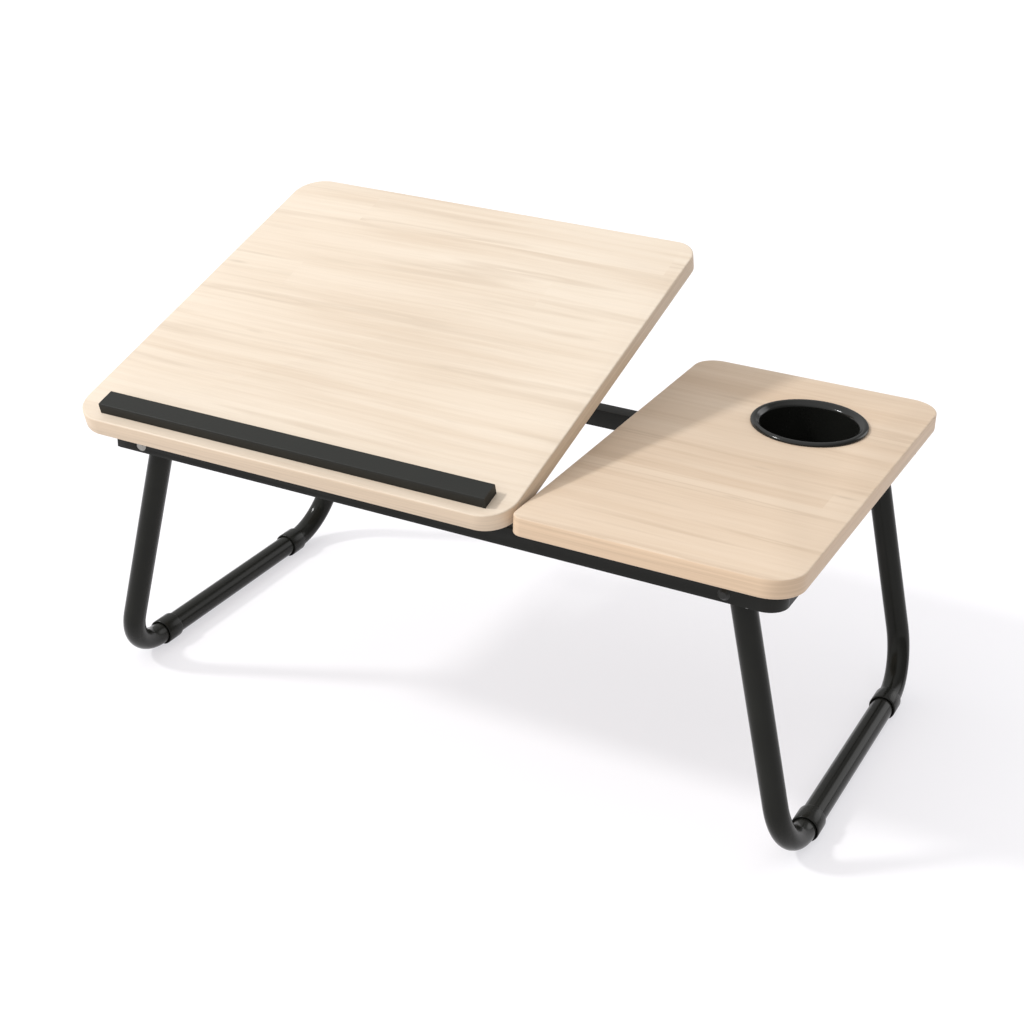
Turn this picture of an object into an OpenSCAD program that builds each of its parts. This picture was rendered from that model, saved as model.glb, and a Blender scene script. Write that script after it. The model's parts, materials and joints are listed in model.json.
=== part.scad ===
// Folding tray table: a tilting board and a fixed board on a square-tube frame,
// with two fold-in tube legs, a wire stand with a notched rack, and a cup holder.
// Parts are drawn in table axes: x right and y back from the front left corner
// of the top, z up from the fixed board's top face. table() moves them so that
// the origin is on the floor, under the middle of the open table.

/* [Table top] */
// Width of the whole table top
table_w = 600; // [590:1:640]
// Depth of both boards, front to back
board_d = 366; // [362:1:380]
// Thickness of both boards
board_t = 15; // [12:0.5:18]
// Height of the fixed board's top face above the floor
top_h = 260; // [250:1:280]
// Width of the fixed board, on the right
fixed_w = 212; // [205:1:220]
// Gap between the two boards
board_gap = 2; // [2:0.5:4]
// Plan radius of the boards' outer corners
corner_r = 26; // [12:1:30]
// Plan radius of the corners at the back of the gap
back_gap_r = 20; // [8:1:26]
// Plan radius of the fixed board's front corner at the gap
front_gap_r = 9; // [4:1:20]

/* [Book ledge] */
// Depth of the ledge, front to back
ledge_w = 17.5; // [16:0.5:26]
// Height of the ledge above the board
ledge_h = 9; // [7:0.5:14]
// Distance from the board's front edge to the ledge
ledge_y = 9.5; // [8:0.5:16]
// Distance from the board's left edge to the ledge
ledge_left = 25; // [10:1:30]
// Distance from the board's right edge to the ledge
ledge_right = 19; // [10:1:30]

/* [Cup holder] */
// Radius of the cup's bore
cup_r = 39; // [34:0.5:40]
// Outer radius of the rim
cup_rim_r = 47; // [45:0.5:48]
// Depth of the cup below the top face
cup_depth = 40; // [30:1:45]
// Cup centre, from the table's right edge
cup_x = 83; // [80:1:84]
// Cup centre, from the table's back edge
cup_y = 96; // [80:1:104]

/* [Tilting] */
// Angle at which the board stands open
tilt = 17.5; // [9:0.5:33]
// Steepest angle that the rack holds
tilt_max = 33; // [30:1:33]
// Hinge axis, behind the boards' front edge
hinge_y = 12; // [11.5:0.5:12]
// Length of the stand's arms, and their distance from the hinge axis
arm = 158; // [157:1:159]
// Radius of the stand's wire
wire_r = 2.5; // [2:0.25:2.5]
// Left arm of the stand, from the table's left edge
stand_x = 110; // [100:1:120]
// Width of the stand between its arms' centre lines
stand_w = 180; // [170:1:190]

/* [Frame] */
// Side of the square tube
rail = 15; // [14:0.5:15]
// Wall of the square tube
rail_wall = 1.2; // [1:0.1:1.5]
// Front face of the front rail, behind the boards' front edge
rail_y = 14.5; // [14.5:0.5:15.5]
// Outer face of the right rail, from the table's right edge
right_inset = 12; // [10:0.5:14]
// Front face of the rear rail, behind the boards' front edge
rear_y = 256; // [254:0.5:257]
// Width of the flat strap under the gap between the boards
strap_w = 28; // [24:1:30]

/* [Legs] */
// Radius of the leg tube
tube_r = 9.5; // [9:0.25:9.5]
// Wall of the leg tube
tube_wall = 1.2; // [1:0.1:1.5]
// Centre-line radius of the leg's bends
bend_r = 46; // [40:1:50]
// Leg pivot, from the table's side edge
pivot_x = 54; // [52:0.5:56]
// Axis of the front upright, behind the boards' front edge
leg_front = 45; // [44:0.5:48]
// Axis of the rear upright, in front of the boards' back edge
leg_back = 12; // [12:0.5:14]
// Angle below level at which a folded leg stops
fold_drop = 5.5; // [5.5:0.5:8]

/* [Hidden] */
$fn = 64;
eps = 0.01;
fit = 0.05;                       // radial clearance of a running fit
near = 0.3;                       // gap left between bodies that pass each other

// Colours
wood = [0.93, 0.84, 0.73];
black = [0.14, 0.14, 0.13];
steel = [0.62, 0.62, 0.60];
nylon = [0.20, 0.20, 0.20];
rubber = [0.08, 0.08, 0.08];

// Levels
board_z = -board_t;               // underside of the boards when level
rail_top = board_z - 3;           // the rails hang below spacers of this height
rail_bottom = rail_top - rail;
hinge_z = board_z - wire_r - 0.4; // hinge axis and the stand's wire, when level
strap_t = 3;
rear_top = rail_top - strap_t;
rear_bottom = rear_top - rail;
floor_z = -top_h;

// Front to back
lip = hinge_y * (1 - cos(tilt)) + hinge_z * sin(tilt);  // open board's front top edge
y_front = -(board_d + lip) / 2;
rail_back = rail_y + rail;
washer_gap = 2;
leg_front_y = leg_front;
leg_rear_y = board_d - leg_back;
plate_t = 3;
plate_back = leg_rear_y - tube_r - washer_gap;
rails_end = plate_back - plate_t;
mid_rear = rear_y + rail / 2;

// Side to side
tilting_w = table_w - fixed_w - board_gap;
fixed_x = table_w - fixed_w;
strap_x = tilting_w - 11;
cup_cx = table_w - cup_x;
cup_cy = board_d - cup_y;

// Legs
pivot_z = rail_top - 9;
rivet_r = 3;
foot_r = tube_r + 1.8;
foot_axis_z = floor_z + tube_r + 1.2;   // the feet have a flat at the floor
leg_drop = pivot_z - foot_axis_z;
splay = atan(pivot_x / leg_drop);
leg_len = norm([pivot_x, leg_drop]);
run = leg_rear_y - leg_front_y;
foot_len = 18;
plug_top = 10.2;
cut_top = 3;
folded_run_x = pivot_x + leg_len * cos(fold_drop);

// The left rail stops the open leg just above its lower inner corner
stop_gap = 0.4;
left_inner = pivot_x - tube_r / cos(splay) - tan(splay) * (pivot_z - rail_bottom) - stop_gap;
left_rail_w = 10;
left_outer = left_inner - left_rail_w;
right_outer = table_w - right_inset;
right_inner = right_outer - rail;
corner_out = rail + 1;

// Hinges
hinge_len = 40;
knuckles = 5;
knuckle_r = 2.2;
pin_r = 1.2;
leaf_t = 1.2;
leaf_w = 19;
hinge_xs = [90, 300];
leaf_holes = [-14, 14];

// Screws and small hardware
screw_r = 2;
small_r = 1.5;
head_r = 3.8;
head_t = 2.2;
spacer_r = 6;
fixed_front_y = rail_y + rail / 2;
fixed_right_x = right_outer - rail / 2;
// Each fixed board screw: x, y and the underside that its head meets
fixed_screws = [
  [fixed_x + 36, fixed_front_y, rail_bottom], [table_w - 38, fixed_front_y, rail_bottom],
  [fixed_right_x, board_d * 0.5, rail_bottom], [fixed_right_x, board_d * 0.88, rail_bottom],
  [fixed_x + 7, board_d * 0.45, rear_top], [fixed_x + 7, board_d * 0.88, rear_top]
];
bumper_r = 4.5;
bumper_xs = [left_inner - left_rail_w / 2, strap_x + 5];
bumper_ys = [board_d * 0.3, board_d * 0.8];
ledge_screw_xs = [ledge_left + 20, tilting_w / 2, tilting_w - ledge_right - 20];
ledge_mid = ledge_y + ledge_w / 2;

// Stand and rack
stand_xs = [stand_x, stand_x + stand_w];
stand_y = hinge_y + arm;
wire_bend = 8;
pin_len = 16;
clip_w = 12;
clip_reach = 13;
rack_w = 14;
rack_inset = 20;
rack_xs = [stand_x + rack_inset, stand_x + stand_w - rack_inset];
rack_front = rear_y + rail;
rack_end = rails_end + 1.5;
rack_tip = hinge_z - wire_r - near;
notch_d = 2;
rack_levels = [tilt_max, tilt_max - 5, tilt + 5, tilt, tilt - 8];
function foot_y(a) = hinge_y + 2 * arm * cos(a);

// ---- placing ----

module table() {
  translate([-table_w / 2, y_front, top_h]) children();
}

// Carries what is drawn level to the open angle, about the hinge axis
module tilted() {
  table() translate([0, hinge_y, hinge_z]) rotate([tilt, 0, 0])
    translate([0, -hinge_y, -hinge_z]) children();
}

// The stand turns twice as far as the board, the other way
module stand_turned() {
  tilted() translate([0, stand_y, hinge_z]) rotate([-2 * tilt, 0, 0])
    translate([0, -stand_y, -hinge_z]) children();
}

// side 0 is the left of the table, side 1 the right
module sided(side) {
  if (side == 0) children();
  else translate([table_w, 0, 0]) mirror([1, 0, 0]) children();
}

// A leg is drawn hanging straight down from its pivot, with y along the table
module leg_hung(side) {
  table() sided(side) translate([pivot_x, 0, pivot_z]) rotate([0, splay, 0]) children();
}

module along_x(x0, len, r) {
  translate([x0, 0, 0]) rotate([0, 90, 0]) cylinder(r = r, h = len);
}

module along_y(y0, len, r) {
  translate([0, y0, 0]) rotate([-90, 0, 0]) cylinder(r = r, h = len);
}

// ---- boards ----

// Rectangle whose corners are rounded by [front left, front right, back right, back left]
module plan(w, d, radii) {
  corners = [[0, 0], [w, 0], [w, d], [0, d]];
  difference() {
    square([w, d]);
    for (i = [0:3]) translate(corners[i]) rotate(90 * i) difference() {
      translate([-1, -1]) square(radii[i] + 1);
      translate([radii[i], radii[i]]) circle(radii[i]);
    }
  }
}

module countersunk(z, len) {
  translate([0, 0, z]) cylinder(r = small_r, h = len);
  translate([0, 0, z]) cylinder(r1 = small_r * 2, r2 = small_r, h = small_r);
}

module fixed_board() {
  color(wood) table() difference() {
    translate([fixed_x, 0, board_z]) linear_extrude(board_t)
      plan(fixed_w, board_d, [front_gap_r, corner_r, corner_r, back_gap_r]);
    translate([cup_cx, cup_cy, board_z - 1]) cylinder(r = cup_r + 2 + fit, h = board_t + 2);
    for (s = fixed_screws) translate([s[0], s[1], board_z - 1])
      cylinder(r = screw_r + eps, h = 11);
  }
}

module fixed_board_screws() {
  color(steel) table() for (s = fixed_screws) translate([s[0], s[1], s[2]]) {
    cylinder(r = screw_r, h = board_z + 9 - s[2]);
    translate([0, 0, -head_t]) cylinder(r = head_r, h = head_t);
  }
}

module fixed_board_spacers() {
  color(nylon) table() for (s = fixed_screws) translate([s[0], s[1], rail_top]) difference() {
    cylinder(r = spacer_r, h = board_z - rail_top);
    translate([0, 0, -1]) cylinder(r = screw_r + eps, h = 5);
  }
}

module tilting_board() {
  color(wood) tilted() difference() {
    translate([0, 0, board_z]) linear_extrude(board_t)
      plan(tilting_w, board_d, [corner_r, corner_r, back_gap_r, corner_r]);
    for (x = ledge_screw_xs) translate([x, ledge_mid, 0]) {
      translate([0, 0, board_z - 1]) cylinder(r = small_r + eps, h = board_t + 2);
      translate([0, 0, board_z - eps])
        cylinder(r1 = small_r * 2 + eps, r2 = small_r + eps, h = small_r);
    }
    for (x = hinge_xs, dx = leaf_holes) translate([x + dx, leaf_hole_y, board_z - 1])
      cylinder(r = small_r + eps, h = 9);
    for (i = [0, 1], dy = [-1, 1]) translate([clip_x(i), stand_y + dy * clip_screw_y, board_z - 1])
      cylinder(r = small_r + eps, h = 9);
  }
}

module book_ledge() {
  edge_r = 0.8;
  len = tilting_w - ledge_left - ledge_right;
  color(black) tilted() difference() {
    translate([ledge_left, ledge_y, 0]) rotate([90, 0, 90]) linear_extrude(len) union() {
      square([ledge_w, ledge_h - edge_r]);
      translate([edge_r, 0]) square([ledge_w - 2 * edge_r, ledge_h]);
      for (y = [edge_r, ledge_w - edge_r]) translate([y, ledge_h - edge_r]) circle(edge_r);
    }
    for (x = ledge_screw_xs) translate([x, ledge_mid, -1]) cylinder(r = small_r + eps, h = 7);
  }
}

module ledge_screws() {
  color(steel) tilted() for (x = ledge_screw_xs) translate([x, ledge_mid, 0])
    countersunk(board_z, board_t + 5.5);
}

// ---- cup holder ----

module cup_holder() {
  wall = 2;
  rim_h = 3;
  color(black) table() translate([cup_cx, cup_cy, 0]) difference() {
    union() {
      translate([0, 0, -cup_depth - wall]) cylinder(r = cup_r + wall, h = cup_depth + wall);
      rotate_extrude() intersection() {
        union() {
          translate([cup_r, 0]) square([cup_rim_r - cup_r - rim_h, rim_h]);
          translate([cup_rim_r - rim_h, 0]) circle(rim_h);
        }
        square([cup_rim_r, rim_h]);
      }
    }
    translate([0, 0, -cup_depth]) cylinder(r = cup_r, h = cup_depth + rim_h + 1);
  }
}

// ---- frame ----

// Square tube along x, its corner at the origin
module tube_x(len, w, h) {
  difference() {
    cube([len, w, h]);
    translate([-1, rail_wall, rail_wall])
      cube([len + 2, w - 2 * rail_wall, h - 2 * rail_wall]);
  }
}

module tube_y(len, w, h) {
  translate([w, 0, 0]) rotate([0, 0, 90]) tube_x(len, w, h);
}

module fixed_screw_holes() {
  for (s = fixed_screws) translate([s[0], s[1], rear_bottom - 1])
    cylinder(r = screw_r + eps, h = 30);
}

module front_rail() {
  bend_x = right_outer - corner_out;
  color(black) table() difference() {
    union() {
      translate([left_outer, rail_y, rail_bottom]) tube_x(bend_x - left_outer, rail, rail);
      translate([bend_x, rail_y + corner_out, rail_bottom]) rotate([0, 0, -90])
        rotate_extrude(angle = 90) translate([corner_out - rail, 0]) difference() {
          square(rail);
          translate([rail_wall, rail_wall]) square(rail - 2 * rail_wall);
        }
    }
    for (x = [pivot_x, table_w - pivot_x]) translate([x, 0, pivot_z])
      along_y(rail_y - 1, rail + 2, rivet_r + eps);
    for (x = hinge_xs, dx = leaf_holes) translate([x + dx, hinge_rivet_y, rail_top - 4])
      cylinder(r = small_r + eps, h = 5);
    fixed_screw_holes();
  }
}

module right_rail() {
  y0 = rail_y + corner_out;
  color(black) table() difference() {
    translate([right_inner, y0, rail_bottom]) tube_y(rails_end - y0, rail, rail);
    fixed_screw_holes();
  }
}

module left_rail() {
  color(black) table() translate([left_outer, rail_back, rail_bottom])
    tube_y(rails_end - rail_back, left_rail_w, rail);
}

module rear_rail() {
  color(black) table() difference() {
    translate([left_inner, rear_y, rear_bottom])
      tube_x(strap_x + strap_w - left_inner, rail, rail);
    for (x = rack_xs) translate([x, 0, rack_screw_z]) along_y(rear_y - 1, rail + 2, small_r + eps);
  }
}

module mid_strap() {
  color(black) table() difference() {
    translate([strap_x, rail_back, rear_top]) cube([strap_w, rails_end - rail_back, strap_t]);
    fixed_screw_holes();
  }
}

module rail_cap() {
  grip = rail - 2 * rail_wall - 0.1;
  off = rail_wall + 0.05;
  difference() {
    union() {
      translate([-2, 0, 0]) cube([2, rail, rail]);
      translate([-eps, off, off]) cube([8, grip, grip]);
    }
    translate([1.5, off + 1.2, off + 1.2]) cube([8, grip - 2.4, grip - 2.4]);
  }
}

module rail_caps() {
  color(nylon) table() {
    translate([left_outer, rail_y, rail_bottom]) rail_cap();
    translate([strap_x + strap_w, rear_y, rear_bottom]) translate([0, rail, 0])
      rotate([0, 0, 180]) rail_cap();
  }
}

// Plate across the end of a side rail that carries the rear pivot, with a stop flange
module pivot_bracket(side, outer) {
  color(black) table() sided(side) difference() {
    union() {
      translate([outer, rails_end, rail_bottom - 4])
        cube([pivot_x + 10 - outer, plate_t, rail + 4]);
      translate([left_inner - plate_t, plate_back - eps, rail_bottom])
        cube([plate_t, 14, rail]);
    }
    translate([pivot_x, 0, pivot_z]) along_y(rails_end - 1, plate_t + 2, rivet_r + eps);
  }
}

// Stops the right leg, whose rail stands further out than the left one
module right_stop_tab() {
  color(black) table()
    translate([right_inner, leg_front_y - plate_t / 2, rail_bottom]) mirror([1, 0, 0])
      cube([right_inner - (table_w - left_inner), plate_t, rail - 2]);
}

// ---- leg pivots ----

module rivet(side, y0, y1) {
  dome_r = 4.6;
  dome_t = 1.8;
  color(steel) table() sided(side) translate([pivot_x, 0, pivot_z]) {
    along_y(y0 - eps, y1 - y0 + 2 * eps, rivet_r);
    translate([0, y0, 0]) rotate([90, 0, 0]) cylinder(r1 = dome_r, r2 = dome_r * 0.55, h = dome_t);
    translate([0, y1, 0]) rotate([-90, 0, 0]) cylinder(r1 = dome_r, r2 = dome_r * 0.55, h = dome_t);
  }
}

module front_rivet(side) {
  rivet(side, rail_y, leg_front_y + tube_r + near);
}

module rear_rivet(side) {
  rivet(side, rails_end, leg_rear_y + tube_r + near);
}

module leg_washers() {
  front = [rail_back, leg_front_y - tube_r - rail_back];
  rear = [plate_back, washer_gap];
  color(nylon) table() for (side = [0, 1], gap = [front, rear])
    sided(side) translate([pivot_x, gap[0], pivot_z]) difference() {
      along_y(0, gap[1] - near, 7);
      along_y(-1, gap[1] + 2, rivet_r + eps);
    }
}

module leg_bumpers() {
  color(rubber) table() for (x = [folded_run_x, table_w - folded_run_x])
    translate([x, mid_rear, rear_bottom - 3]) cylinder(r = 6, h = 3);
}

// ---- legs ----

// The U of the leg as a solid rod of radius r
module leg_rod(r, top) {
  turn_z = -leg_len + bend_r;
  for (y = [leg_front_y, leg_rear_y]) translate([0, y, turn_z])
    cylinder(r = r, h = top - turn_z);
  translate([0, 0, -leg_len]) along_y(leg_front_y + bend_r, run - 2 * bend_r, r);
  translate([0, leg_front_y + bend_r, turn_z]) rotate([0, 90, 0]) rotate([0, 0, -90])
    rotate_extrude(angle = 90) translate([bend_r, 0]) circle(r);
  translate([0, leg_rear_y - bend_r, turn_z]) rotate([0, 90, 0])
    rotate_extrude(angle = 90) translate([bend_r, 0]) circle(r);
}

module leg_tube(side) {
  color(black) leg_hung(side) difference() {
    leg_rod(tube_r, cut_top);
    leg_rod(tube_r - tube_wall, cut_top + 1);
    for (y = [leg_front_y, leg_rear_y]) along_y(y - tube_r - 1, 2 * tube_r + 2, rivet_r + fit);
  }
}

// Nylon plugs with a domed end that clears the board as the leg swings
module leg_plugs(side) {
  plug_r = tube_r - tube_wall - eps;
  color(nylon) leg_hung(side) for (y = [leg_front_y, leg_rear_y]) difference() {
    union() {
      translate([0, y, -12]) cylinder(r = plug_r, h = 12 + cut_top);
      intersection() {
        translate([0, y, 0]) sphere(plug_top);
        translate([0, y, cut_top]) cylinder(r = tube_r, h = plug_top);
      }
    }
    along_y(y - tube_r - 1, 2 * tube_r + 2, rivet_r + fit);
  }
}

// Rubber sleeve on the floor run, worn flat where it stands
module foot(side, y0) {
  color(rubber) difference() {
    leg_hung(side) translate([0, 0, -leg_len]) difference() {
      along_y(y0, foot_len, foot_r);
      along_y(y0 - 1, foot_len + 2, tube_r + eps);
    }
    translate([-table_w, -board_d, -20]) cube([2 * table_w, 2 * board_d, 20]);
  }
}

module front_foot(side) {
  foot(side, leg_front_y + bend_r);
}

module rear_foot(side) {
  foot(side, leg_rear_y - bend_r - foot_len);
}

// ---- hinges ----

knuckle_len = hinge_len / knuckles;
leaf_hole_y = hinge_y + leaf_w - 6;
hinge_rivet_y = rail_y + rail / 2;

// Every second knuckle, each with a little less than its share of the length
module knuckle_row(first, r, slack) {
  for (i = [first:2:knuckles - 1])
    translate([0, hinge_y, hinge_z])
      along_x(-hinge_len / 2 + i * knuckle_len + slack, knuckle_len - 2 * slack, r);
}

// A leaf drawn level, its plate from y0 at height z; first is its first knuckle
module leaf(first, y0, y1, z, bore_r) {
  difference() {
    union() {
      difference() {
        translate([-hinge_len / 2, y0, z]) cube([hinge_len, y1 - y0, leaf_t]);
        knuckle_row(1 - first, knuckle_r + near, -0.1);
      }
      knuckle_row(first, knuckle_r, 0.1);
    }
    translate([0, hinge_y, hinge_z]) along_x(-hinge_len, 2 * hinge_len, bore_r);
  }
}

module hinge_frame_leaf(i) {
  color(steel) table() translate([hinge_xs[i], 0, 0]) difference() {
    leaf(1, hinge_y + pin_r + eps, rail_back - 0.5, rail_top, pin_r + eps);
    for (dx = leaf_holes) translate([dx, hinge_rivet_y, rail_top - 1])
      cylinder(r = small_r + eps, h = 4);
    for (dx = leaf_holes) translate([dx, hinge_rivet_y, rail_top + 0.2])
      cylinder(r1 = small_r, r2 = small_r + 1, h = 1 + eps);
  }
}

module hinge_board_leaf(i) {
  color(steel) tilted() translate([hinge_xs[i], 0, 0]) difference() {
    leaf(0, hinge_y - 1.4, hinge_y + leaf_w, board_z - leaf_t, pin_r + fit);
    for (dx = leaf_holes) translate([dx, leaf_hole_y, board_z - leaf_t])
      cylinder(r1 = small_r + 1 + eps, r2 = small_r + eps, h = leaf_t + eps);
  }
}

module hinge_pin(i) {
  color(steel) table() translate([hinge_xs[i], hinge_y, hinge_z])
    along_x(-hinge_len / 2 - 0.6, hinge_len + 1.2, pin_r);
}

// Blind rivets, flush with the frame leaf and spread inside the tube
module hinge_rivets() {
  color(steel) table() for (x = hinge_xs, dx = leaf_holes)
    translate([x + dx, hinge_rivet_y, rail_top]) {
      translate([0, 0, -3.5]) cylinder(r = small_r, h = 3.5 + leaf_t - 0.1);
      translate([0, 0, -3.5]) cylinder(r = small_r + 0.9, h = 3.5 - rail_wall - eps);
    }
}

module hinge_board_screws() {
  color(steel) tilted() for (x = hinge_xs, dx = leaf_holes)
    translate([x + dx, leaf_hole_y, board_z - leaf_t]) {
      cylinder(r = small_r, h = leaf_t + 7);
      cylinder(r1 = small_r + 1, r2 = small_r, h = leaf_t);
    }
}

// ---- stand ----

clip_screw_y = 9;
function clip_x(i) = stand_xs[i] + (i == 0 ? -1 : 1) * (wire_bend + clip_w / 2 + 1);

// Drawn level: two arms back from the pins in the clips to the foot bar
module tilt_stand() {
  foot_bar_y = stand_y + arm;
  color(black) stand_turned() translate([0, 0, hinge_z]) {
    translate([0, foot_bar_y, 0]) along_x(stand_x + wire_bend, stand_w - 2 * wire_bend, wire_r);
    for (i = [0, 1]) translate([stand_xs[i], 0, 0]) mirror([i, 0, 0]) {
      along_y(stand_y + wire_bend, arm - 2 * wire_bend, wire_r);
      translate([wire_bend, foot_bar_y - wire_bend, 0]) rotate([0, 0, 90])
        rotate_extrude(angle = 90) translate([wire_bend, 0]) circle(wire_r);
      translate([-wire_bend, stand_y + wire_bend, 0]) rotate([0, 0, -90])
        rotate_extrude(angle = 90) translate([wire_bend, 0]) circle(wire_r);
      translate([0, stand_y, 0]) along_x(-wire_bend - pin_len, pin_len, wire_r);
    }
  }
}

// Saddle that holds one of the stand's pins against the board
module stand_clip(i) {
  drop = board_z - hinge_z + wire_r + 2;
  color(nylon) tilted() translate([clip_x(i), stand_y, 0]) difference() {
    translate([-clip_w / 2, -clip_reach, board_z - drop]) cube([clip_w, 2 * clip_reach, drop]);
    translate([0, 0, hinge_z]) along_x(-clip_w, 2 * clip_w, wire_r + fit);
    translate([-clip_w, -wire_r - fit, hinge_z]) cube([2 * clip_w, 2 * (wire_r + fit), 10]);
    for (dy = [-clip_screw_y, clip_screw_y]) translate([0, dy, board_z - drop - 1])
      cylinder(r = small_r + eps, h = drop + 2);
    for (s = [-1, 1]) translate([-clip_w, s * (wire_r + 3) - (s < 0 ? 9 : 0), board_z - drop - 1])
      cube([2 * clip_w, 9, drop - 2]);
  }
}

module stand_clip_screws() {
  color(steel) tilted() for (i = [0, 1], dy = [-clip_screw_y, clip_screw_y])
    translate([clip_x(i), stand_y + dy, board_z - 3]) {
      cylinder(r = small_r, h = 10);
      translate([0, 0, -1.4]) cylinder(r = small_r * 1.9, h = 1.4);
    }
}

rack_screw_z = rear_top - 10;

// Side outline of the rack: each notch has a steep back that holds the foot bar
module rack_outline() {
  foot_ys = [for (a = rack_levels) foot_y(a)];
  back_of = wire_r + 0.4;
  difference() {
    translate([rack_front, rear_bottom + 3]) square([rack_end - rack_front, rack_tip - rear_bottom - 3]);
    for (i = [0:len(foot_ys) - 1]) {
      y = foot_ys[i];
      ramp = i == 0 ? rack_front + 1 : foot_ys[i - 1] + back_of + 1;
      polygon([
        [ramp, rack_tip + 1], [ramp, rack_tip], [y - 1.5, rack_tip - notch_d],
        [y + back_of, rack_tip - notch_d], [y + back_of, rack_tip + 1]
      ]);
    }
  }
}

module rack(i) {
  color(nylon) table() translate([rack_xs[i] - rack_w / 2, 0, 0]) difference() {
    rotate([90, 0, 90]) linear_extrude(rack_w) rack_outline();
    translate([rack_w / 2, 0, rack_screw_z]) along_y(rack_front - 1, 16, small_r + eps);
    translate([3, rack_front + 18, rear_bottom]) cube([rack_w - 6, rack_end - rack_front - 21, 9]);
  }
}

// Long screws from the front of the rear rail into the racks
module rack_screws() {
  color(steel) table() for (x = rack_xs) translate([x, 0, rack_screw_z]) {
    along_y(rear_y - eps, rail + 14, small_r);
    along_y(rear_y - 1.4, 1.4, small_r * 1.9);
  }
}

module board_bumpers() {
  color(rubber) table() for (x = bumper_xs, y = bumper_ys)
    translate([x, y, rail_top]) cylinder(r = bumper_r, h = board_z - rail_top - near);
}

front_rail();
right_rail();
left_rail();
rear_rail();
mid_strap();
rail_caps();
pivot_bracket(0, left_outer);  // left_pivot_bracket
pivot_bracket(1, right_inset);  // right_pivot_bracket
right_stop_tab();
front_rivet(0);  // left_front_rivet
rear_rivet(0);  // left_rear_rivet
front_rivet(1);  // right_front_rivet
rear_rivet(1);  // right_rear_rivet
leg_washers();
fixed_board();
fixed_board_screws();
fixed_board_spacers();
cup_holder();
hinge_frame_leaf(0);  // left_hinge_frame_leaf
hinge_frame_leaf(1);  // right_hinge_frame_leaf
hinge_pin(0);  // left_hinge_pin
hinge_pin(1);  // right_hinge_pin
hinge_rivets();
rack(0);  // left_rack
rack(1);  // right_rack
rack_screws();
board_bumpers();
leg_bumpers();
tilting_board();
book_ledge();
ledge_screws();
hinge_board_leaf(0);  // left_hinge_board_leaf
hinge_board_leaf(1);  // right_hinge_board_leaf
hinge_board_screws();
stand_clip(0);  // left_stand_clip
stand_clip(1);  // right_stand_clip
stand_clip_screws();
tilt_stand();
leg_tube(0);  // left_leg_tube
leg_plugs(0);  // left_leg_plugs
front_foot(0);  // left_front_foot
rear_foot(0);  // left_rear_foot
leg_tube(1);  // right_leg_tube
leg_plugs(1);  // right_leg_plugs
front_foot(1);  // right_front_foot
rear_foot(1);  // right_rear_foot
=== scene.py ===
import json
import math

import bmesh
import bpy
from mathutils import Matrix, Vector


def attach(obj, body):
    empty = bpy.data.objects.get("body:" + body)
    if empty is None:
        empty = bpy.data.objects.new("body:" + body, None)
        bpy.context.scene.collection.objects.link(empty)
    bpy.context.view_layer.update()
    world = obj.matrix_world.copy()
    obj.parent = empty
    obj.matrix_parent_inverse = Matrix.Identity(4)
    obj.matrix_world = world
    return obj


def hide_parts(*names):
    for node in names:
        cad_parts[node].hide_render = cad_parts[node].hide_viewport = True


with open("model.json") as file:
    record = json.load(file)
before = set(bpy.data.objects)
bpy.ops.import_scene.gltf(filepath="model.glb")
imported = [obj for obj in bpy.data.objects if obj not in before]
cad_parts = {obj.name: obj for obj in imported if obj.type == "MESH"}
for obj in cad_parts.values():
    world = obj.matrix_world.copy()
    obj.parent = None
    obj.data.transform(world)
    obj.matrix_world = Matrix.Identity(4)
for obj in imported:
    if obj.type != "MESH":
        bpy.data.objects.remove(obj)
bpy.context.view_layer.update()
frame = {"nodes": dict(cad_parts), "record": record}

NODES = frame["nodes"]
SLOTS = {s["node"]: s["material_slot"] for s in frame["record"]["subparts"]}
BODY_OF = {
    node: body for body, names in frame["record"]["behaviour"]["bodies"].items() for node in names
}
MM = 0.001
REST_TILT = math.radians(17.5)

# the wood: strips in m, and how far and how often a line of the grain wanders
STRIP_LENGTH, STRIP_WIDTH = 0.29, 0.036
WANDER, WANDERS_PER_M = 0.016, 2.6
STRIP_STAGGER = 7.3
ODD_STRIP = 0.72
# layers of the figure: noise per metre along and across the grain, detail, roughness
BANDS = (2.4, 30, 3.0, 0.5)
CLOUDS = (3.0, 9, 2.0, 0.5)
STREAKS = (5.5, 210, 4.0, 0.6)
PORES = (42, 1250, 3.0, 0.6)
VEINS = (4.2, 66, 2.0, 0.45)
BAND_SHARE, CLOUD_SHARE, STREAK_SHARE, STRIP_SHARE = 0.38, 0.30, 0.30, 0.03
# offsets that keep two layers from lining up
CLOUD_OFFSET, STREAK_OFFSET = 4.7, 1.3
KNOTS_ALONG, KNOTS_ACROSS, KNOT_RARITY, KNOT_DEPTH = 14.0, 64.0, 0.93, 0.42
EDGE_ALONG, EDGE_LINES = 6.0, 620.0
LIGHT, MID, DARK = (0.640, 0.552, 0.452), (0.610, 0.516, 0.414), (0.562, 0.460, 0.357)
# painted shade: the fixed board's copy of the laminate is darker and warmer than the tilting
# board's, for the level board taking less light
FIXED_BOARD_PAINTED_SHADE = (0.935, 0.872, 0.815)
FIXED_BOARD_SEED = 1.71
# edge band: warmer tan, its own colour, and a little darker than the top, which is painted shade
EDGE_TINT_AND_SHADE = (1.03, 0.965, 0.89)

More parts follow.
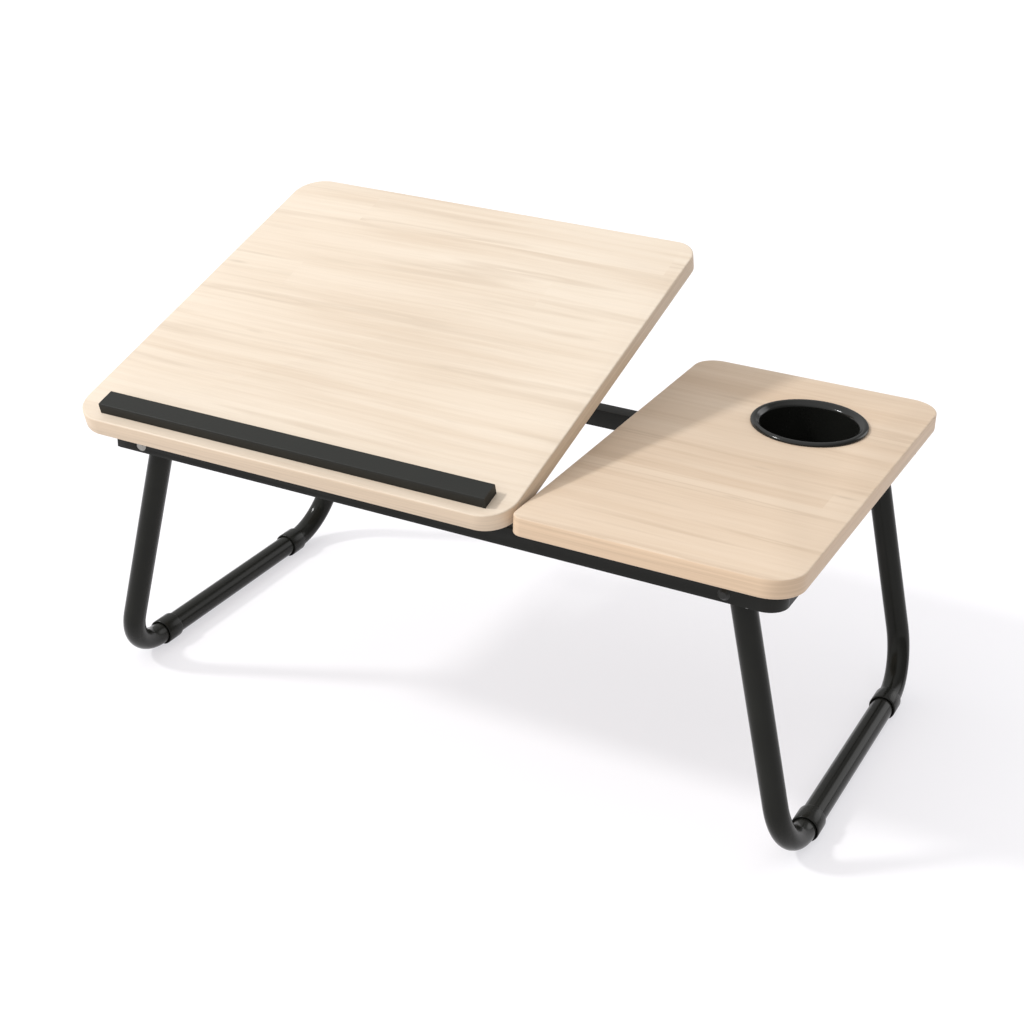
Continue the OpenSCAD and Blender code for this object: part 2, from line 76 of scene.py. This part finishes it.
# piece edges rounded over, in mm
BOARD_EASE, SHORTEST_BOARD_EDGE = 1.3, 1.2
EASED = {
    "front_rail": 0.9, "right_rail": 0.9, "left_rail": 0.9, "rear_rail": 0.9, "mid_strap": 0.5,
    "left_pivot_bracket": 0.4, "right_pivot_bracket": 0.4, "right_stop_tab": 0.4,
    "rail_caps": 0.5, "left_rack": 0.5, "right_rack": 0.5,
    "left_stand_clip": 0.4, "right_stand_clip": 0.4,
    "left_front_foot": 1.5, "left_rear_foot": 1.5, "right_front_foot": 1.5, "right_rear_foot": 1.5,
}
WELD = 2e-6
FLAT_ANGLE, ARRIS_ANGLE = math.radians(0.3), math.radians(40)

# the cup holder, in mm: radii, and heights above the board's top
CUP_BORE_R, CUP_WALL_R, CUP_FLOOR, CUP_UNDERSIDE = 39.0, 41.0, -40.0, -42.0
CUP_RIM_HEIGHT = 3
CUP_SIDES = 160

FLOOR_HALF = 40.0
FLOOR_GLOW = 0.60
WORLD_STRENGTH = 1.18
SOFT_SOURCE = (-0.50, -0.38, 0.78)
SMALL_LIGHT, SMALL_LIGHT_STRENGTH = (0.47, 0.81, 0.35), 1.6
KEY_TOWARDS, KEY_STRENGTH, KEY_SOFTNESS = (0.95, 0.55, -1.0), 1.95, 7

CAMERA_AZIMUTH, CAMERA_ELEVATION, CAMERA_ROLL = 26.506, 25.678, 1.779
CAMERA_AIM, AIM_RIGHT, AIM_UP = Vector((0, -0.0306, 0.160)), 0.0144, 0.0170
CAMERA_DISTANCE, CAMERA_LENS = 1.4782, 63.924


# ---------------------------------------------------------------- node helpers

def put(tree, kind, inputs=None, **attrs):
    """Adds a shader node; an input given as a socket is linked, any other is a value."""
    n = tree.nodes.new("ShaderNode" + kind)
    for key, value in attrs.items():
        setattr(n, key, value)
    for key, value in (inputs or {}).items():
        if isinstance(value, bpy.types.NodeSocket):
            tree.links.new(value, n.inputs[key])
        else:
            n.inputs[key].default_value = value
    return n


def sums(tree, op, a, b=0.0, c=0.0):
    return put(tree, "Math", {0: a, 1: b, 2: c}, operation=op).outputs[0]


def combine(tree, x, y, z=0.0):
    return put(tree, "CombineXYZ", {0: x, 1: y, 2: z}).outputs[0]


def separate(tree, vector):
    return put(tree, "SeparateXYZ", {0: vector}).outputs


def blend(tree, factor, a, b, mode="MIX"):
    n = put(tree, "Mix", {0: factor, 6: a, 7: b}, data_type="RGBA", blend_type=mode)
    return n.outputs[2]


def ramp(tree, factor, stops):
    n = put(tree, "ValToRGB", {0: factor})
    bar = n.color_ramp.elements
    while len(bar) < len(stops):
        bar.new(0.5)
    for element, (place, colour) in zip(bar, stops):
        element.position = place
        element.color = (*colour, 1)
    return n.outputs[0]


def rescale(tree, value, low, high, new_low, new_high):
    return put(tree, "MapRange", {0: value, 1: low, 2: high, 3: new_low, 4: new_high}).outputs[0]


def grey(v):
    return (v, v, v)


def times(colour, factor):
    """A colour made darker or lighter by a number, or tinted by another colour."""
    factors = factor if isinstance(factor, tuple) else grey(factor)
    return tuple(c * f for c, f in zip(colour, factors))


def noise(tree, vector, detail=2.0, roughness=0.5, scale=1.0):
    return put(tree, "TexNoise", {
        "Vector": vector, "Scale": scale, "Detail": detail, "Roughness": roughness}).outputs[0]


def new_material(name, **sockets):
    mat = bpy.data.materials.new(name)
    mat.use_nodes = True
    tree = mat.node_tree
    shader = tree.nodes["Principled BSDF"]
    for key, value in sockets.items():
        shader.inputs[key.replace("_", " ")].default_value = value
    return mat, tree, shader


def bump(tree, shader, height, strength, distance):
    n = put(tree, "Bump", {"Height": height, "Strength": strength, "Distance": distance})
    tree.links.new(n.outputs[0], shader.inputs["Normal"])


# ---------------------------------------------------------------- materials

def wood(name, tilt, seed, light, mid, dark):
    """Pale laminate of jointed strips, grain along X, in the board's own level axes."""
    mat, tree, shader = new_material(name, Specular_IOR_Level=0.32)
    place = put(tree, "TexCoord")
    level = put(tree, "Mapping", {
        "Vector": place.outputs["Object"], "Rotation": (-tilt, 0, 0),
        "Location": (seed, seed * 0.37, 0)}).outputs[0]
    facing = put(tree, "Mapping", {
        "Vector": place.outputs["Normal"], "Rotation": (-tilt, 0, 0)},
        vector_type="NORMAL").outputs[0]
    flat = ramp(tree, sums(tree, "ABSOLUTE", separate(tree, facing)[2]), [
        (0.35, grey(0)), (0.8, grey(1))])
    x, y, z = separate(tree, level)

    # staggered strips, each with its own tone and the odd ones with their own grain
    row = sums(tree, "FLOOR", sums(tree, "DIVIDE", y, STRIP_WIDTH))
    shift = put(tree, "TexWhiteNoise", {"W": row}, noise_dimensions="1D").outputs["Value"]
    along = sums(tree, "ADD", sums(tree, "DIVIDE", x, STRIP_LENGTH),
                 sums(tree, "MULTIPLY", shift, STRIP_STAGGER))
    strip = combine(tree, sums(tree, "FLOOR", along), row)
    tone = put(tree, "TexWhiteNoise", {"Vector": strip}, noise_dimensions="3D").outputs["Value"]
    jump = sums(tree, "MULTIPLY", sums(tree, "GREATER_THAN", tone, ODD_STRIP), tone)
    wander = noise(tree, combine(tree, x, y), scale=WANDERS_PER_M)
    across = sums(tree, "ADD", y, sums(tree, "MULTIPLY", wander, WANDER))

    def grain(layer, offset):
        per_m_along, per_m_across, detail, roughness = layer
        spot = combine(
            tree, sums(tree, "MULTIPLY_ADD", x, per_m_along, offset),
            sums(tree, "MULTIPLY_ADD", across, per_m_across, offset),
            sums(tree, "MULTIPLY", z, per_m_across))
        return noise(tree, spot, detail, roughness)

    streaks = grain(STREAKS, STREAK_OFFSET)
    pores = grain(PORES, 0.0)
    mix = sums(tree, "MULTIPLY", grain(BANDS, jump), BAND_SHARE)
    mix = sums(tree, "MULTIPLY_ADD", grain(CLOUDS, CLOUD_OFFSET), CLOUD_SHARE, mix)
    mix = sums(tree, "MULTIPLY_ADD", streaks, STREAK_SHARE, mix)
    mix = sums(tree, "MULTIPLY_ADD", tone, STRIP_SHARE, mix)
    colour = ramp(tree, mix, [(0.40, dark), (0.50, mid), (0.60, light)])

    # long brown streaks, darkest along one side
    vein = ramp(tree, grain(VEINS, jump), [
        (0.57, grey(0)), (0.67, grey(0.75)), (0.69, grey(0.15))])
    colour = blend(tree, vein, colour, (*times(dark, 0.93), 1))

    # a few short pin knots
    spot = combine(
        tree, sums(tree, "MULTIPLY", x, KNOTS_ALONG), sums(tree, "MULTIPLY", across, KNOTS_ACROSS),
        sums(tree, "MULTIPLY", z, KNOTS_ACROSS))
    knots = put(tree, "TexVoronoi", {"Vector": spot, "Scale": 1.0})
    draw = put(tree, "SeparateColor", {0: knots.outputs["Color"]}).outputs[0]
    near = ramp(tree, knots.outputs["Distance"], [(0.03, grey(1)), (0.17, grey(0))])
    fleck = sums(tree, "MULTIPLY", near, sums(tree, "GREATER_THAN", draw, KNOT_RARITY))
    colour = blend(tree, sums(tree, "MULTIPLY", fleck, KNOT_DEPTH), colour, (*times(dark, 0.74), 1))

    fine = ramp(tree, pores, [(0.34, grey(0.965)), (0.52, grey(1))])
    colour = blend(tree, 1.0, colour, fine, "MULTIPLY")

    # the edge band, lined along its length, wherever the surface isn't level: its warmer tan is its
    # own colour, and its slight darkening against the top is painted shade
    lines = noise(tree, combine(
        tree, sums(tree, "MULTIPLY", x, EDGE_ALONG), sums(tree, "MULTIPLY", y, EDGE_ALONG),
        sums(tree, "MULTIPLY", z, EDGE_LINES)), 3.0, 0.6)
    tan = times(mid, EDGE_TINT_AND_SHADE)
    edge = ramp(tree, lines, [(0.34, times(tan, 0.86)), (0.50, times(tan, 0.95)), (0.64, tan)])
    tree.links.new(blend(tree, flat, edge, colour), shader.inputs["Base Color"])

    tree.links.new(rescale(tree, mix, 0.35, 0.65, 0.52, 0.44), shader.inputs["Roughness"])
    bump(tree, shader, sums(tree, "MULTIPLY_ADD", streaks, 0.5, pores), 0.13, 0.0001)
    return mat


def coated(name, colour, rough, spread, grain_m, bump_strength, metallic=0.0, shine=0.5, wear=0.0):
    """Painted, moulded or plated surface with uneven gloss and a fine surface texture."""
    mat, tree, shader = new_material(name, Metallic=metallic, Specular_IOR_Level=shine)
    place = put(tree, "TexCoord").outputs["Object"]
    cloud = noise(tree, place, 4.0, 0.6, 22.0)
    fine = noise(tree, place, 2.0, 0.5, 1 / grain_m)
    base = ramp(tree, cloud, [(0.35, times(colour, 0.90)), (0.65, times(colour, 1.10))])
    if wear:
        # paint rubbed paler along sharp edges, in patches
        edge = put(tree, "NewGeometry").outputs["Pointiness"]
        rub = sums(tree, "MULTIPLY", ramp(tree, edge, [(0.53, grey(0)), (0.60, grey(1))]),
                   ramp(tree, cloud, [(0.45, grey(0)), (0.62, grey(wear))]))
        base = blend(tree, rub, base, (*[min(1, c * 4 + 0.02) for c in colour], 1))
    tree.links.new(base, shader.inputs["Base Color"])
    tree.links.new(rescale(tree, cloud, 0.3, 0.7, rough - spread, rough + spread),
                   shader.inputs["Roughness"])
    bump(tree, shader, fine, bump_strength, grain_m * 0.05)
    return mat


# colour, roughness and its spread, size of the texture in m, bump strength
MATERIALS = {
    "frame_paint": coated(
        "frame_black", (0.0082, 0.0083, 0.0068), 0.40, 0.03, 0.0009, 0.25, shine=0.18, wear=0.15),
    "leg_paint": coated(
        "leg_gloss_black", (0.0125, 0.0127, 0.0108), 0.18, 0.03, 0.0016, 0.10, shine=0.13),
    "wire_paint": coated(
        "wire_black", (0.008, 0.008, 0.007), 0.27, 0.04, 0.0012, 0.15, shine=0.25),
    "cup_plastic": coated(
        "cup_gloss_plastic", (0.008, 0.0082, 0.0072), 0.16, 0.02, 0.0012, 0.06, shine=0.28),
    "ledge_plastic": coated(
        "ledge_matte_plastic", (0.013, 0.0133, 0.0112), 0.44, 0.05, 0.0006, 0.45, shine=0.18),
    "nylon": coated(
        "nylon_black", (0.014, 0.014, 0.013), 0.45, 0.05, 0.0008, 0.3, shine=0.25),
    "rubber": coated(
        "rubber_black", (0.0115, 0.0117, 0.0100), 0.24, 0.04, 0.0007, 0.2, shine=0.15),
    "steel": coated(
        "zinc_plate", (0.56, 0.56, 0.55), 0.32, 0.08, 0.0005, 0.2, metallic=1.0),
    "dark_rivet": coated(
        "black_rivet", (0.016, 0.016, 0.014), 0.30, 0.06, 0.0005, 0.2, shine=0.3),
}
# the one rivet head made of light grey metal, unlike the other dark ones
LIGHT_GREY_RIVET = coated(
    "light_grey_rivet", (0.30, 0.29, 0.27), 0.28, 0.06, 0.0005, 0.2, metallic=0.9)
BOARD_WOOD = {
    "tilting_board": wood("pale_laminate_tilting", REST_TILT, 0.0, LIGHT, MID, DARK),
    # the level board gets the same laminate darkened by painted shade
    "fixed_board": wood("pale_laminate_fixed_painted_shade", 0.0, FIXED_BOARD_SEED, *[
        times(colour, FIXED_BOARD_PAINTED_SHADE) for colour in (LIGHT, MID, DARK)]),
}


# ---------------------------------------------------------------- pieces

def smooth(mesh, angle=32):
    mesh.shade_smooth()
    mesh.set_sharp_from_angle(angle=math.radians(angle))


def stand_for(name, mesh, node, material):
    """A finished mesh shown in place of a CAD node, on that node's body."""
    obj = bpy.data.objects.new(name, mesh)
    bpy.context.scene.collection.objects.link(obj)
    mesh.materials.clear()
    mesh.materials.append(material)
    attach(obj, BODY_OF[node])
    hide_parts(node)


def eased(node, width, segments=3, shortest=0.0):
    """The CAD node's solid with every arris longer than `shortest` rounded over."""
    mesh = NODES[node].data.copy()
    bm = bmesh.new()
    bm.from_mesh(mesh)
    bmesh.ops.remove_doubles(bm, verts=bm.verts, dist=WELD)
    bmesh.ops.dissolve_limit(bm, angle_limit=FLAT_ANGLE, verts=bm.verts, edges=bm.edges)
    sharp = [e for e in bm.edges if len(e.link_faces) == 2
             and e.calc_face_angle() > ARRIS_ANGLE and e.calc_length() > shortest]
    bmesh.ops.bevel(bm, geom=sharp, offset=width, segments=segments, profile=0.5,
                    affect="EDGES", clamp_overlap=True, harden_normals=False)
    bm.to_mesh(mesh)
    bm.free()
    smooth(mesh)
    return mesh


def arc(centre, size, degrees):
    """Points round part of an ellipse, each a radius and a height in mm."""
    turns = [math.radians(a) for a in degrees]
    return [(centre[0] + size[0] * math.cos(a), centre[1] + size[1] * math.sin(a)) for a in turns]


def cup_profile():
    """Radius and height in mm, round the section: bead, lip falling inwards, bore, floor."""
    bead = arc((44.3, 0.9), (2.7, 2.1), range(-25, 146, 10))
    lip = [(41.2, 1.35), (40.2, 0.75), (39.5, 0.0), (39.1, -0.9), (CUP_BORE_R, -2.0)]
    corner = arc((36.0, -37.0), (3.0, -3.0), range(15, 91, 15))
    outside = [(40.2, CUP_UNDERSIDE), (40.8, -41.6), (CUP_WALL_R, -40.8)]
    return [(CUP_WALL_R, 0.0), (45.9, 0.0), *bead, *lip, (CUP_BORE_R, -37.0), *corner,
            (0.0, CUP_FLOOR), (0.0, CUP_UNDERSIDE), *outside]


def cup():
    """The section turned about the CAD cup holder's axis."""
    holder = NODES["cup_holder"]
    corners = [holder.matrix_world @ Vector(c) for c in holder.bound_box]
    middle = sum(corners, Vector()) / len(corners)
    board_top = max(c.z for c in corners) - CUP_RIM_HEIGHT * MM
    bm = bmesh.new()
    rings = []
    for radius, height in cup_profile():
        sides = CUP_SIDES if radius else 1
        rings.append([bm.verts.new((
            middle.x + radius * MM * math.cos(math.tau * k / CUP_SIDES),
            middle.y + radius * MM * math.sin(math.tau * k / CUP_SIDES),
            board_top + height * MM)) for k in range(sides)])
    for a, b in zip(rings, rings[1:] + rings[:1]):
        for k in range(CUP_SIDES):
            n = (k + 1) % CUP_SIDES
            ring = [a[k % len(a)], a[n % len(a)], b[n % len(b)], b[k % len(b)]]
            ring = list(dict.fromkeys(ring))
            if len(ring) > 2:
                bm.faces.new(ring)
    bmesh.ops.recalc_face_normals(bm, faces=bm.faces)
    mesh = bpy.data.meshes.new("cup_holder_moulded")
    bm.to_mesh(mesh)
    bm.free()
    smooth(mesh, 50)
    return mesh


for node, width in EASED.items():
    stand_for(node + "_eased", eased(node, width * MM), node, MATERIALS[SLOTS[node]])
for node, material in BOARD_WOOD.items():
    mesh = eased(node, BOARD_EASE * MM, 4, SHORTEST_BOARD_EDGE * MM)
    stand_for(node + "_laminate", mesh, node, material)
stand_for("cup_holder_moulded", cup(), "cup_holder", MATERIALS["cup_plastic"])

for name, node in NODES.items():
    if name in EASED or name in BOARD_WOOD or name == "cup_holder":
        continue
    node.data.materials.clear()
    node.data.materials.append(
        LIGHT_GREY_RIVET if name == "left_front_rivet" else MATERIALS[SLOTS[name]])
    smooth(node.data)


# ---------------------------------------------------------------- floor, light, camera

def make_floor():
    """A pale sheet that also gives off light, which keeps the shadows on it pale."""
    half = FLOOR_HALF
    mesh = bpy.data.meshes.new("floor")
    corners = [(-half, -half, 0), (half, -half, 0), (half, half, 0), (-half, half, 0)]
    mesh.from_pydata(corners, [], [(0, 1, 2, 3)])
    mat, tree, shader = new_material(
        "pale_floor", Roughness=0.9, Specular_IOR_Level=0.05,
        Emission_Color=(0.97, 0.96, 1.0, 1), Emission_Strength=FLOOR_GLOW)
    cloud = noise(tree, put(tree, "TexCoord").outputs["Object"], 2.0, 0.5, 3.0)
    paint = ramp(tree, cloud, [(0.3, (0.365, 0.360, 0.362)), (0.7, (0.373, 0.368, 0.370))])
    tree.links.new(paint, shader.inputs["Base Color"])
    mesh.materials.append(mat)
    obj = bpy.data.objects.new("floor", mesh)
    bpy.context.scene.collection.objects.link(obj)


def make_world():
    """A wide soft source up to the left front, and a small light low behind the right end."""
    world = bpy.data.worlds.new("studio")
    bpy.context.scene.world = world
    world.use_nodes = True
    tree = world.node_tree
    back = tree.nodes["Background"]
    way = put(tree, "TexCoord").outputs["Generated"]

    def nearness(direction):
        return put(tree, "VectorMath", {0: way, 1: direction},
                   operation="DOT_PRODUCT").outputs["Value"]

    # dark towards the right and the back, away from the soft source
    sky = ramp(tree, sums(tree, "MULTIPLY_ADD", nearness(SOFT_SOURCE), 0.5, 0.5), [
        (0.20, grey(0.20)), (0.55, grey(0.38)), (0.80, grey(1.02)), (1.0, grey(1.22))])
    # the small light draws streaks along the tubes
    spot = ramp(tree, nearness(SMALL_LIGHT), [(0.945, grey(0)), (0.975, grey(1))])
    spot = put(tree, "VectorMath", {0: spot, "Scale": SMALL_LIGHT_STRENGTH},
               operation="SCALE").outputs[0]
    tree.links.new(blend(tree, 1.0, sky, spot, "ADD"), back.inputs["Color"])
    back.inputs["Strength"].default_value = WORLD_STRENGTH


def make_sun(name, towards, strength, softness):
    data = bpy.data.lights.new(name, "SUN")
    data.energy = strength
    data.angle = math.radians(softness)
    obj = bpy.data.objects.new(name, data)
    obj.rotation_mode = "QUATERNION"
    obj.rotation_quaternion = Vector(towards).to_track_quat("-Z", "Y")
    bpy.context.scene.collection.objects.link(obj)


def make_camera():
    azimuth, elevation, roll = (
        math.radians(a) for a in (CAMERA_AZIMUTH, CAMERA_ELEVATION, CAMERA_ROLL))
    back = Vector((math.sin(azimuth) * math.cos(elevation),
                   -math.cos(azimuth) * math.cos(elevation), math.sin(elevation)))
    level = Vector((math.cos(azimuth), math.sin(azimuth), 0))
    upright = back.cross(level)
    right = level * math.cos(roll) + upright * math.sin(roll)
    up = upright * math.cos(roll) - level * math.sin(roll)
    aim = CAMERA_AIM + right * AIM_RIGHT + up * AIM_UP
    data = bpy.data.cameras.new("camera")
    data.sensor_width = 36
    data.lens = CAMERA_LENS
    data.clip_end = 100
    obj = bpy.data.objects.new("camera", data)
    turn = Matrix((right, up, back)).transposed().to_4x4()
    obj.matrix_world = Matrix.Translation(aim + back * CAMERA_DISTANCE) @ turn
    bpy.context.scene.collection.objects.link(obj)
    bpy.context.scene.camera = obj


make_floor()
make_world()
make_sun("key", KEY_TOWARDS, KEY_STRENGTH, KEY_SOFTNESS)
make_camera()
bpy.context.scene.view_settings.view_transform = "Standard"
